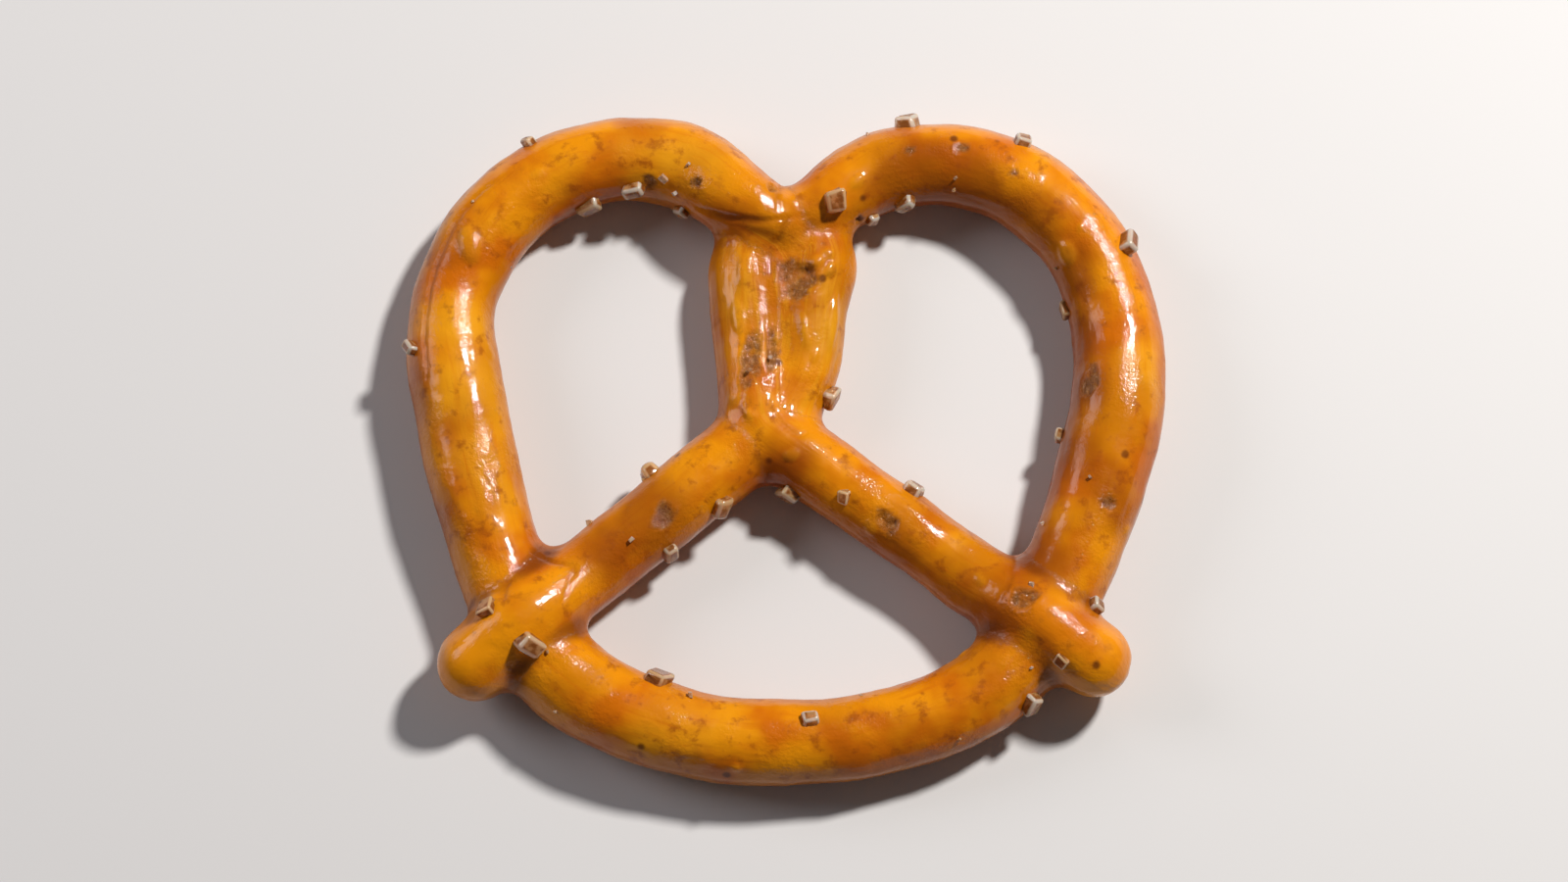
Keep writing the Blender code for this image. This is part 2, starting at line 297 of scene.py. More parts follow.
# %% Extrude the rings
RING_SIDES = 24
CAP_STEPS = 5
CAP_TURN = math.radians(88)
FILLING_STEPS = 8
FILLING_END = 0.75  # share of the way down the column
FILLING_THICK = 3.8 * MM
FILLING_HEIGHT = 3.0 * MM


def round_end(points):
    end = points[-1]
    ahead = (end.xyz - points[-2].xyz).normalized()
    cap = []
    for k in range(1, CAP_STEPS + 1):
        a = CAP_TURN * k / CAP_STEPS
        cap.append(Vector((*(end.xyz + ahead * end.w * math.sin(a)), end.w * math.cos(a))))
    return cap


def axes_at(points, i):
    """Across, up and ahead at point i of the rope."""
    ahead = (points[min(i + 1, len(points) - 1)].xyz - points[max(i - 1, 0)].xyz).normalized()
    across = ahead.cross(UP).normalized()
    return across, across.cross(ahead), ahead


def ring_place(points, i):
    turn = Matrix(axes_at(points, i)).transposed().to_4x4()
    return Matrix.Translation(points[i].xyz) @ turn @ Matrix.Scale(points[i].w, 4)


def draw_out(shape, line):
    """A closed tube along line, extruded ring by ring from one circle, added to shape."""
    place = ring_place(line, 0)
    first = bmesh.ops.create_circle(shape, cap_ends=True, segments=RING_SIDES, radius=1)["verts"]
    bmesh.ops.transform(shape, matrix=place, verts=first)
    rim = list(dict.fromkeys(edge for vert in first for edge in vert.link_edges))
    for i in range(1, len(line)):
        drawn = bmesh.ops.extrude_edge_only(shape, edges=rim)["geom"]
        rim = [part for part in drawn if isinstance(part, bmesh.types.BMEdge)]
        new_ring = [part for part in drawn if isinstance(part, bmesh.types.BMVert)]
        next_place = ring_place(line, i)
        bmesh.ops.transform(shape, matrix=next_place @ place.inverted(), verts=new_ring)
        place = next_place
    bmesh.ops.edgeloop_fill(shape, edges=rim)


def column_filling():
    points = []
    for k in range(FILLING_STEPS + 1):
        share = FILLING_END * k / FILLING_STEPS
        y = STRAND_TOP_Y + (CROSSING.y - STRAND_TOP_Y) * share
        points.append(Vector((CROSSING.x * share**3, y, FILLING_HEIGHT, FILLING_THICK / 2)))
    return points


def object_from(shape, name):
    mesh = bpy.data.meshes.new(name)
    shape.to_mesh(mesh)
    shape.free()
    made = bpy.data.objects.new(name, mesh)
    bpy.context.scene.collection.objects.link(made)
    return made


shape = bmesh.new()
for middle_line in (rope, column_filling()):
    draw_out(shape, round_end(middle_line[::-1])[::-1] + middle_line + round_end(middle_line))
bmesh.ops.recalc_face_normals(shape, faces=shape.faces)
print(f"{len(shape.faces)} faces in the rope")
crust = object_from(shape, "crust")

# %% [markdown]
# ## Baking it into one skin
#
# Dough that touches itself runs together in the oven. Four modifiers do that. A voxel remesh
# makes one skin of the crossing rope, Displace swells it, a second remesh joins what now
# touches, and a second Displace draws it in by the same distance. Round sides come back to where
# they were, and creases stay filled. A last fine remesh and some smoothing leave an even skin.
#
# Sculpting the creases by hand would give more control, but this also works after every change
# to the rope.

# %% Swell, join and draw in
FUSE = 0.8 * MM
COARSE_VOXEL = 0.3 * MM
SKIN_VOXEL = 0.245 * MM
SMOOTH_STEPS = 17


def remesh(obj, name, size):
    step = obj.modifiers.new(name, "REMESH")
    step.mode = "VOXEL"
    step.voxel_size = size


def apply_modifiers(obj):
    bpy.context.view_layer.update()
    graph = bpy.context.evaluated_depsgraph_get()
    mesh = bpy.data.meshes.new_from_object(obj.evaluated_get(graph))
    obj.modifiers.clear()
    old, obj.data = obj.data, mesh
    bpy.data.meshes.remove(old)


for name, distance in (("swell", FUSE), ("draw_in", -FUSE)):
    remesh(crust, "fuse_before_" + name, COARSE_VOXEL)
    move = crust.modifiers.new(name, "DISPLACE")
    move.mid_level = 0.0
    move.strength = distance
remesh(crust, "skin", SKIN_VOXEL)
soften = crust.modifiers.new("soften", "SMOOTH")
soften.factor = 0.5
soften.iterations = SMOOTH_STEPS
apply_modifiers(crust)
skin = crust.data
skin.name = "crust"
print(f"{len(skin.vertices)} points in the skin")

# %% [markdown]
# ## Where each point lies on the rope
#
# Streaks in the crust run along the rope, because the dough was rolled and drawn. To lay a
# pattern that way, each point of the skin needs to know how far along the rope it is and how far
# round it. The nearest point of the middle line gives both, and they are kept in an attribute
# that the material reads later.

# %% Measure along and round the rope
HALF_ROPE = 3 * MM  # turns an angle round the rope into a distance
count = len(skin.vertices)
co = np.empty(count * 3)
skin.vertices.foreach_get("co", co)
co = co.reshape(-1, 3)

nearest = KDTree(len(rope))
for i, point in enumerate(rope):
    nearest.insert(point.xyz, i)
nearest.balance()
rope_axes = [axes_at(rope, i) for i in range(len(rope))]

rope_way = np.empty((count, 3))
for k in range(count):
    point = Vector(co[k])
    _, i, _ = nearest.find(point)
    across, up, ahead = rope_axes[i]
    off = point - rope[i].xyz
    angle = math.atan2(off.dot(across), off.dot(up))
    rope_way[k] = (travelled[i] + off.dot(ahead), angle * HALF_ROPE, 0)
print(f"the skin's points lie along 0 to {rope_way[:, 0].max() / MM:.0f} mm of the rope")


# %% [markdown]
# ## How hollow the skin is
#
# Creases and hollows get painted shade, darker, and bulges get painted light, more golden, so the
# material needs to know which is which. Letting every point drift towards its neighbours many
# times shows it: a point in a crease moves out, and one on a bulge moves in. The distance moved
# along the normal is kept as an attribute.

# %% Measure hollows and bulges
DRIFT_STEPS = 24
HOLLOW_FROM = 0.02 * MM  # a point that drifts out this much more than most starts to be hollow
HOLLOW_SPAN = 0.16 * MM  # and is fully hollow this much further on
BULGE_FROM = 0.01 * MM
BULGE_SPAN = 0.06 * MM

edges = np.empty(len(skin.edges) * 2, np.int32)
skin.edges.foreach_get("vertices", edges)
edges = edges.reshape(-1, 2)
neighbours = np.bincount(edges.ravel(), minlength=count)[:, None]


def drifted(values, steps):
    """The values after each point has taken the average of its neighbours, again and again."""
    for _ in range(steps):
        total = np.empty_like(values)
        for axis in range(values.shape[1]):
            one_way = np.bincount(edges[:, 0], values[edges[:, 1], axis], count)
            total[:, axis] = one_way + np.bincount(edges[:, 1], values[edges[:, 0], axis], count)
        values = total / neighbours
    return values


normal = np.empty(count * 3)
skin.vertex_normals.foreach_get("vector", normal)
normal = normal.reshape(-1, 3)
moved = ((drifted(co, DRIFT_STEPS) - co) * normal).sum(axis=1)
usual = np.median(moved)
hollow = np.clip((moved - usual - HOLLOW_FROM) / HOLLOW_SPAN, 0, 1)
bulge = np.clip((usual - BULGE_FROM - moved) / BULGE_SPAN, 0, 1)
print(f"{(hollow > 0.5).mean():.1%} of the points lie in a hollow")

# %% [markdown]
# ## Dents, wrinkles and lumps
#
# A baked rope isn't a smooth pipe. Wide soft dents come from handling, and fine wrinkles run
# along it where the skin dried before the inside rose, most of all on the column. Each is a
# noise pattern that moves the points along their normals. Wrinkles read the along-and-round
# attribute with the long direction stretched, which is what makes them run with the rope.

# %% Soft relief
DENT = 0.17 * MM
DENT_SIZE = 4.2 * MM
LUMP = 0.035 * MM
LUMP_SIZE = 1.7 * MM
PEEL = 0.026 * MM  # a fine orange-peel texture
PEEL_SIZE = 0.75 * MM
WRINKLE = 0.075 * MM
WRINKLE_SIZE = (5.0 * MM, 0.8 * MM, MM)  # along the rope and round it; the last isn't used
WRINKLE_WARP = 1.0 * MM
WRINKLE_WARP_SIZE = 2.6 * MM
WRINKLED_AREA = 7 * MM
# Where the column fades in and out: beside it, at its foot and at its head.
COLUMN_SIDE = (5.2 * MM, 3.8 * MM)
COLUMN_FOOT = (-1 * MM, 1.5 * MM)
COLUMN_HEAD = (16 * MM, 14 * MM)


def smooth_step(low, high, value):
    t = np.clip((value - low) / (high - low), 0, 1)
    return t * t * (3 - 2 * t)


def noise_at(places, size, seed):
    """Smooth noise from -1 to 1 at each place. size may differ by axis."""
    scaled = places / np.array(size) + seed
    return np.array([noise.noise(row) for row in scaled.tolist()])


in_column = smooth_step(*COLUMN_SIDE, np.abs(co[:, 0]))
in_column *= smooth_step(*COLUMN_FOOT, co[:, 1]) * smooth_step(*COLUMN_HEAD, co[:, 1])
wrinkled = np.maximum(smooth_step(0.0, 0.45, noise_at(co, WRINKLED_AREA, seed=5.3)), in_column)
warped = rope_way.copy()
warped[:, 1] += WRINKLE_WARP * noise_at(co, WRINKLE_WARP_SIZE, seed=9.1)
wrinkle = noise_at(warped, WRINKLE_SIZE, seed=1.7)
relief = DENT * noise_at(co, DENT_SIZE, seed=2.1) + LUMP * noise_at(co, LUMP_SIZE, seed=8.8)
relief += PEEL * noise_at(co, PEEL_SIZE, seed=4.9)
relief += WRINKLE * (wrinkled + 0.3 * in_column) * wrinkle
print(f"soft relief from {relief.min() / MM:.2f} to {relief.max() / MM:.2f} mm")

# %% [markdown]
# ## Scars and blisters
#
# Where a salt grain fell off, it leaves a rough brown scar. Where one was sealed in, or steam
# lifted the skin, there is a glazed blister. The largest have places of their own, in a table.
# Modelling each one would be slow, and noise alone wouldn't put them where they are.

# %% Marks with places of their own
# Kind, x, y, length and width in millimetres, turn in degrees, and height in millimetres.
MARKS = (
    ("scar", 1.0, 11.2, 3.7, 3.0, -50, -0.30),
    ("scar", -2.3, 5.0, 4.6, 1.8, 82, -0.20),
    ("scar", -0.8, 5.8, 4.4, 0.9, 88, -0.16),
    ("scar", -8.4, -6.2, 2.3, 1.6, 60, -0.16),
    ("scar", 7.4, -6.7, 2.4, 1.5, -60, -0.26),
    ("scar", 16.9, -12.4, 2.2, 1.7, 20, -0.30),
    ("scar", 21.8, 3.6, 2.6, 1.9, 80, -0.16),
    ("scar", 23.0, -5.4, 1.2, 1.0, 0, -0.22),
    ("scar", 13.0, 20.9, 1.2, 0.9, 0, -0.26),
    ("scar", 9.2, 20.8, 0.9, 0.7, 0, -0.12),
    ("scar", 16.6, 19.0, 0.8, 0.6, 0, -0.14),
    ("blister", -22.4, 13.6, 3.4, 1.9, 105, 0.30),
    ("blister", 20.3, 13.1, 2.2, 1.8, 100, 0.16),
    ("blister", -2.7, 12.0, 3.0, 1.5, 80, 0.18),
    ("blister", 3.6, 8.2, 5.0, 1.3, 84, 0.20),
    ("blister", 1.6, 7.4, 3.6, 0.9, -76, 0.16),
    ("blister", -3.2, 8.4, 3.4, 1.2, -80, 0.14),
    ("blister", 2.4, 12.5, 1.6, 1.1, 20, 0.24),
    ("blister", 3.5, 12.0, 1.4, 1.0, 70, 0.22),
    ("blister", 3.3, 13.2, 1.2, 0.9, 0, 0.16),
    ("blister", 2.3, 5.6, 1.2, 0.6, 70, 0.14),
    ("blister", 0.6, -1.8, 1.5, 1.1, 20, 0.14),
    ("blister", 5.4, 18.4, 1.6, 1.0, 40, 0.10),
)
print(len(MARKS), "marks with places of their own")

# %% [markdown]
# ## Finding a place on the crust
#
# Marks and salt are put on the skin in two ways: straight down onto a spot seen from above, or
# inwards onto the rope from an angle round it. A search tree of the skin's faces answers both.

# %% Find the skin under a spot
skin_tree = BVHTree.FromPolygons(
    [v.co for v in skin.vertices], [p.vertices for p in skin.polygons]
)


def on_crust(x, y):
    """The skin's point and normal under (x, y) in millimetres, or the nearest one beside it."""
    hit, out, _, _ = skin_tree.ray_cast(Vector((x * MM, y * MM, 20 * MM)), -UP)
    if hit is None:
        hit, out, _, _ = skin_tree.find_nearest(Vector((x * MM, y * MM, 3 * MM)))
    return hit, out


def spot_index(along):
    """The number of the rope's point at that share of its length."""
    return 1 + int(along * (len(rope) - 2))


def around_rope(along, angle):
    """The skin's point and normal at that share of the rope's length and angle from its top."""
    i = spot_index(along)
    across, up, _ = rope_axes[i]
    out = up * math.cos(angle) + across * math.sin(angle)
    hit, facing, _, _ = skin_tree.ray_cast(rope[i].xyz + out * 4 * rope[i].w, -out)
    return hit, facing


print(f"the belly's top is {on_crust(0, -22)[0].z / MM:.1f} mm up")

# %% [markdown]
# ## Stamps
#
# Each mark is a stamp pressed into the skin: an oval with its own long and short axis and a depth
# or height. Noise makes a scar's edge and floor ragged, and a low rim runs round it. Small marks
# are spread along the rope by steps of the golden share, which never bunch up.

# %% Press the stamps
STAMP_DEPTH = 1.2 * MM  # a stamp only presses skin this near to its own level
RAGGED = 0.34
RIM_AT, RIM_WIDTH, RIM_HEIGHT = 1.08, 0.17, 0.22  # shares of the oval and of the scar's depth
SPREAD_MARKS = 16
SPREAD_LENGTH = (0.7, 1.7)  # in millimetres, as is the height
SPREAD_WIDTH = (0.55, 0.9)  # as a share of the length
SPREAD_HEIGHT = (0.07, 0.15)
SPREAD_SCAR = -1.6  # a spread scar goes this much deeper than a blister stands up
SPREAD_START = 0.31
SPREAD_ANGLE = math.radians(75)
MARK_SEED = 21
GOLDEN_SHARE = 0.618034

scar = np.zeros(count)
blister = np.zeros(count)


def stamp(kind, hit, out, length, width, turned, height):
    side = Vector((0, 1, 0)).cross(out)
    side = (side if side.length > 0.1 else Vector((1, 0, 0))).normalized()
    side.rotate(Matrix.Rotation(turned, 3, out))
    off = co - np.array(hit)
    u = off @ np.array(side) / (length / 2)
    v = off @ np.array(out.cross(side)) / (width / 2)
    w = off @ np.array(out) / STAMP_DEPTH
    near = np.flatnonzero((u * u + v * v < 2.6) & (np.abs(w) < 1))
    spots = co[near]
    away = np.sqrt(u[near] ** 2 + v[near] ** 2)  # 1 at the oval's edge
    if kind == "scar":
        ragged = noise_at(spots, 0.8 * MM, seed=3.1) + 0.5 * noise_at(spots, 0.35 * MM, seed=7.7)
        away = away + RAGGED * ragged
        floor = smooth_step(1.0, 0.55, away) * (1 + 0.7 * noise_at(spots, 0.42 * MM, seed=6.6))
        rim = np.exp(-(((away - RIM_AT) / RIM_WIDTH) ** 2))
        relief[near] += height * floor - RIM_HEIGHT * height * rim
        scar[near] = np.maximum(scar[near], smooth_step(1.15, 0.6, away))
    else:
        relief[near] += height * smooth_step(1.0, 0.45, away)
        blister[near] = np.maximum(blister[near], smooth_step(1.0, 0.7, away))


for kind, x, y, length, width, degrees, height in MARKS:
    hit, out = on_crust(x, y)
    stamp(kind, hit, out, length * MM, width * MM, math.radians(degrees), height * MM)

draw = random.Random(MARK_SEED)
for k in range(SPREAD_MARKS):
    along = (k * GOLDEN_SHARE + SPREAD_START) % 1
    hit, out = around_rope(along, SPREAD_ANGLE * draw.uniform(-1, 1))
    kind = "scar" if k % 4 == 0 else "blister"
    length = draw.uniform(*SPREAD_LENGTH) * MM
    width = length * draw.uniform(*SPREAD_WIDTH)
    height = draw.uniform(*SPREAD_HEIGHT) * MM * (SPREAD_SCAR if kind == "scar" else 1)
    turned = draw.uniform(0, math.tau)
    if hit is not None:
        stamp(kind, hit, out, length, width, turned, height)
print(f"{SPREAD_MARKS} more marks spread; {(scar > 0.5).sum()} points are scarred")

# %% [markdown]
# ## Creases
#
# Where two ropes meet, the fused skin keeps a fine crease. Each one here is a line of points on
# the upper side. The skin sinks towards the line, and the line gets painted shade in brown. A
# smooth curve runs through the points of each row, in steps short enough to leave no beads.

# %% Press the creases
# How strong each crease is, then its points in millimetres. It fades out at the first and last.
CREASES = (
    (1, (-6.2, 16.5), (-3.6, 15.6), (-1.2, 15.3), (0.5, 15.6), (2.0, 15.9)),
    (1, (-5.4, 16.0), (-3.4, 15.4), (-1.2, 15.2), (0.4, 15.5)),
    (1, (-0.1, 18.6), (-0.3, 17.2), (-0.3, 15.9)),
    (1, (0.6, 15.5), (-0.3, 14.2), (-0.9, 13.2), (-0.7, 11.2)),
    (0.8, (-1.1, 8.4), (-0.9, 6.0), (-0.6, 4.2)),
    (0.9, (-0.7, 1.6), (0.2, 0.3), (1.3, -0.4), (1.8, 0.1)),
    (1, (-17.8, -8.5), (-16.3, -9.3), (-14.7, -9.9), (-15.0, -11.4), (-15.4, -13.0)),
    (1, (-17.3, -8.8), (-18.6, -10.2), (-19.4, -11.6), (-19.5, -13.0)),
    (1, (16.6, -8.6), (16.3, -9.8), (15.9, -11.0), (15.1, -12.5)),
    (0.9, (-17.8, 19.8), (-21.4, 17.8), (-23.7, 15.0), (-25.0, 11.6), (-25.5, 7.6), (-25.1, 3.0)),
)
CREASE_DEPTH = 0.23 * MM
CREASE_WIDTH = 0.22 * MM
CREASE_STEP = 0.13 * MM
CREASE_WANDER = 0.12 * MM
CREASE_WANDER_SIZE = 0.9 * MM
# All skin further away counts as this many widths away, so that the whole upper side keeps a
# small share of the sinking and the painted shade.
CREASE_FAR = 1.0
COLUMN_SPARED = 0.65  # hollows of the column get this share less painted shade


def crease_line(corners):
    """Points close together on a smooth curve through the corners."""
    corners = with_ends([Vector(corner) * MM for corner in corners])
    line = []
    for a, b, c, d in zip(corners, corners[1:], corners[2:], corners[3:]):
        steps = math.ceil((c - b).length / CREASE_STEP)
        for t in [k / steps for k in range(steps)]:
            curve = b + (c - a) * t / 2 + (a - 2.5 * b + 2 * c - d / 2) * t**2
            line.append(curve + (1.5 * (b - c) + (d - a) / 2) * t**3)
    return line


faces_up = smooth_step(0.2, 0.5, normal[:, 2])
creased = np.zeros(count)
for strength, *corners in CREASES:
    line = crease_line(corners)
    from_line = np.full(count, CREASE_FAR)
    for k, spot in enumerate(line):
        ripple = noise.noise(Vector((spot.x, spot.y, 0)) / CREASE_WANDER_SIZE)
        wander = CREASE_WANDER * ripple
        fade = math.sin(math.pi * (k + 1) / (len(line) + 1)) ** 0.4
        apart = np.hypot(co[:, 0] - spot.x - wander, co[:, 1] - spot.y + wander)
        from_line = np.minimum(from_line, apart / (CREASE_WIDTH * fade))
    creased = np.maximum(creased, strength * np.exp(-(from_line**2)) * faces_up)
relief -= CREASE_DEPTH * creased
# Creases join the hollows, which the material darkens as painted shade.
hollow = np.maximum(hollow * (1 - COLUMN_SPARED * in_column), creased)
print(f"{len(CREASES)} creases, {(creased > 0.5).sum()} points in them")

# %% [markdown]
# ## Uneven browning, painted shade and painted light
#
# An oven browns a rope unevenly, in areas as wide as the rope is thick. Each line of the table is
# one such area: where it is, how far it reaches, and how strong it is. Above zero it is browner
# than the rest. That is mostly real browning, with painted shade on shaded lower sides and in the
# crotch. Below zero it is more golden, which is painted light on the lit sides of the ropes and on
# their highlights. The material reads the sum as an attribute.

# %% Where the crust is browner or more golden, with painted shade and painted light
# x, y and reach in millimetres, and strength.
BROWNING_AND_PAINTED_LIGHT = (
    (8.6, 18.6, 3.4, 0.9),
    (13.6, 18.0, 3.0, 0.9),
    (18.2, 16.6, 2.6, 0.6),
    (20.4, 11.8, 2.4, 0.8),
    (20.9, 7.2, 2.2, 0.7),
    (21.8, 3.4, 2.2, 0.9),
    (21.0, -1.6, 2.4, 0.6),
    (23.4, -5.2, 2.2, 0.8),
    (18.2, -9.6, 2.8, 0.6),
    (-14.2, 17.4, 2.6, 0.5),
    (-10.8, 20.6, 3.4, -0.6),
    (-23.6, 13.2, 2.6, 0.5),
    # Painted shade on the lower outer side of the left lobe.
    (-24.8, -5.8, 2.6, 0.7),
    # A real stain, with painted shade on the lower side of the left arm.
    (-9.2, -6.2, 2.6, 1.1),
    (-12.4, -8.8, 2.4, 0.6),
    (7.6, -8.2, 2.8, 0.6),
    # Painted shadow in the crotch under the lower crossing.
    (0.4, -2.6, 2.4, 0.7),
    # The rest are painted light: the lit sides of the ropes and their highlights.
    (-21.6, 3.0, 4.2, -0.8),
    (-20.6, -4.0, 3.2, -0.8),
    (-5.4, 20.8, 3.4, -0.6),
    (4.0, 9.0, 2.6, -0.6),
    (25.4, 4.6, 3.4, -0.6),
    (18.4, 21.0, 3.0, -0.5),
    (12.0, -7.6, 2.6, -0.5),
    (3.8, 6.2, 2.2, -0.6),
    (-3.4, 9.8, 2.2, -0.5),
    (-22.6, 8.6, 2.6, -0.6),
)
BROWNING_AND_PAINTED_LIGHT_BREAKUP = 0.5  # noise makes an area this much weaker and stronger within itself
BROWNING_AND_PAINTED_LIGHT_BREAKUP_SIZE = 1.8 * MM

browning_and_painted_light = np.zeros(count)
for x, y, reach, strength in BROWNING_AND_PAINTED_LIGHT:
    away = np.hypot(co[:, 0] / MM - x, co[:, 1] / MM - y) / reach
    browning_and_painted_light += strength * np.exp(-(away**2))
browning_and_painted_light *= 1 + BROWNING_AND_PAINTED_LIGHT_BREAKUP * noise_at(co, BROWNING_AND_PAINTED_LIGHT_BREAKUP_SIZE, seed=6.3)
print(f"baked from {browning_and_painted_light.min():.2f} to {browning_and_painted_light.max():.2f}")

# %% [markdown]
# ## Moving the skin
#
# All the relief is one number for each point, so one move along the normals makes it. It fades
# out towards the underside, which was pressed on the oven belt at height 0, and what would lie
# below the belt is set on it. The flat underside gets shallow pores instead, where steam got out.
# What the material needs to know is kept on the mesh as attributes.

# %% Move the points
RELIEF_FADE = (0.1 * MM, 1.2 * MM)  # heights between which the relief grows to its full depth
BELT_TOUCH = 0.03 * MM
PORE_DEPTH = 0.09 * MM
PORE_SIZE = 0.8 * MM
UNDERSIDE_TURN = (-0.35, -0.85)  # how far down the skin faces where the underside fades in
UNDERSIDE_HEIGHT = (1.6 * MM, 0.5 * MM)
FLANK_TURN = (0.8, 0.15)

off_belt = smooth_step(*RELIEF_FADE, co[:, 2])
co += normal * (relief * off_belt)[:, None]
on_belt = co[:, 2] < BELT_TOUCH
pores = np.clip(noise_at(co, PORE_SIZE, seed=4.4) - 0.15, 0, 1)
co[:, 2] = np.where(on_belt, PORE_DEPTH * pores, co[:, 2])
skin.vertices.foreach_set("co", co.ravel())


def keep(name, values, kind="FLOAT", field="value"):
    skin.attributes.new(name, kind, "POINT").data.foreach_set(field, np.ravel(values))


underside = smooth_step(*UNDERSIDE_TURN, normal[:, 2])
underside *= smooth_step(*UNDERSIDE_HEIGHT, co[:, 2])
keep("rope_way", rope_way, "FLOAT_VECTOR", "vector")
keep("hollow", drifted(hollow[:, None], 3))
keep("bulge", drifted(bulge[:, None], 6))
keep("browning_and_painted_light", browning_and_painted_light)
keep("scar", scar)
keep("blister", blister)
keep("underside", underside)
keep("in_column", in_column)
keep("flank", smooth_step(*FLANK_TURN, normal[:, 2]))
skin.update()
skin.shade_smooth()
print(f"{on_belt.sum()} points rest on the belt")

# %% [markdown]
# ## Places of the salt
#
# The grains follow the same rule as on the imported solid: some have a place of their own, and the
# rest go down the rope by the golden share, the largest first. One that would lie too near to
# another, or where no salt lies, is drawn again a few times and then left out. Scattering with
# particles would be quicker, but then the grains wouldn't be real meshes.

# %% Where the grains lie
SALT_SEED = 4
SALT_COUNT = 22
SALT_TRIES = 12
SALT_SIZE = (1.2 * MM, 2.3 * MM)
SALT_CLEARANCE = 2.8 * MM
SALT_SPREAD = math.radians(72)
SALT_STRAY = 0.02  # how far along the rope a grain may stray from its step, as a share
BARE_ABOVE_Y = -9.5 * MM  # beyond this, the others lie on the flanks of the rope only
BARE_HALF_X = 5.5 * MM  # and none on the column or at the dip
FLANK = math.radians(48)  # the flanks start at this angle from the rope's top
# x, y and size in millimetres.
CLEAR_GRAINS = (
    (3.8, 16.9, 2.0),
    (8.9, 17.5, 1.9),
    (6.6, 16.2, 1.4),
    (-7.6, 16.4, 1.7),
    (-14.0, 17.3, 2.2),
    (4.4, 2.7, 2.0),
    (0.2, -4.6, 1.9),
    (4.3, -4.8, 1.4),
    (-9.8, -2.2, 2.3),
    (-8.0, -8.4, 1.8),
    (19.4, 9.3, 1.5),
    (19.8, 0.1, 1.6),
    (22.0, -12.6, 1.6),
)


draw = random.Random(SALT_SEED)
grains = []
for x, y, size in CLEAR_GRAINS:
    grains.append((*on_crust(x, y), size * MM, draw.uniform(0, math.tau)))
for k in range(SALT_COUNT):
    size = SALT_SIZE[1] + (SALT_SIZE[0] - SALT_SIZE[1]) * k / (SALT_COUNT - 1)
    for _ in range(SALT_TRIES):
        along = (k * GOLDEN_SHARE + draw.uniform(-SALT_STRAY, SALT_STRAY)) % 1
        angle = SALT_SPREAD * draw.uniform(-1, 1)
        spot = rope[spot_index(along)]
        if spot.y > BARE_ABOVE_Y and (abs(angle) < FLANK or abs(spot.x) < BARE_HALF_X):
            continue
        hit, out = around_rope(along, angle)
        if hit and out.z > 0 and all((hit - g[0]).length > SALT_CLEARANCE for g in grains):
            grains.append((hit, out, size, draw.uniform(0, math.tau)))
            break
print(f"{len(grains)} grains have a place")

# %% [markdown]
# ## Salt grains
#
# Pretzel salt comes as worn blocks, clear in the middle and pale at the edges. A grain starts as
# a cube that is given its three sizes and has its corners pulled in a little. Each side gets an
# inset face, which becomes the clear window, and the edges between are bevelled round. An
# attribute called rim is 1 on the bevel and 0 on the window, for the material. Last, the grain is
# turned, leaned onto the crust and sunk into it.

# %% Cut the grains
GRAIN_WIDTH = (0.32, 0.46)  # half of it, as a share of the length
GRAIN_HEIGHT = (0.24, 0.34)
SALT_SUNK = 0.42
BEVEL_SHARE = 0.28  # of a grain's thickness
CORNER_PULL = 0.2
LENGTH_PULL = (0.7, 1)
WIDTH_PULL = (0.75, 1)
WORN = 0.09
WORN_SIZE = 0.5 * MM
RIM_SHARE = 0.08  # width of the pale rim beside the bevel, as a share of half the thickness
RIM_FADE = 0.6  # how pale a grain still is where its bevel ends


def set_on_crust(shape, verts, place, out, turn):
    """Moves verts to place, turned, with their Z axis leaned to point out of the crust."""
    lean = out.to_track_quat("Z", "Y").to_matrix().to_4x4()
    bmesh.ops.transform(shape, matrix=Matrix.Translation(place) @ lean @ turn, verts=verts)


def cut_grain(shape, rim, half, hit, out, turned, draw):
    """One worn block of salt added to shape, with half its three sizes, sunk into the crust."""
    others = set(shape.verts)
    made = bmesh.ops.create_cube(shape, size=2)["verts"]
    for vert in made:
        vert.co = Vector([c * h for c, h in zip(vert.co, half)])
        vert.co *= 1 + CORNER_PULL * draw.uniform(-1, 0.3)
        vert.co.x *= draw.uniform(*LENGTH_PULL)
        vert.co.y *= draw.uniform(*WIDTH_PULL)
    windows = list(dict.fromkeys(face for vert in made for face in vert.link_faces))
    edges = list(dict.fromkeys(edge for vert in made for edge in vert.link_edges))
    wide = half.z * (RIM_SHARE + 2 * BEVEL_SHARE)
    bmesh.ops.inset_individual(shape, faces=windows, thickness=wide, use_even_offset=True)
    bevel = bmesh.ops.bevel(
        shape,
        geom=edges,
        offset=half.z * 2 * BEVEL_SHARE,
        affect="EDGES",
        segments=3,
        profile=0.5,
        material=-1,
    )
    rounded = set(bevel["faces"])
    verts = [vert for vert in shape.verts if vert not in others]
    for vert in verts:
        vert[rim] = 1.0 if rounded.issuperset(vert.link_faces) else RIM_FADE
        vert.co *= 1 + WORN * noise.noise(vert.co / WORN_SIZE + Vector((turned, 0, 0)))
    for vert in {vert for face in windows for vert in face.verts}:
        vert[rim] = 0.0
    middle = hit + out * half.z * (1 - 2 * SALT_SUNK)
    set_on_crust(shape, verts, middle, out, Matrix.Rotation(turned, 4, "Z"))


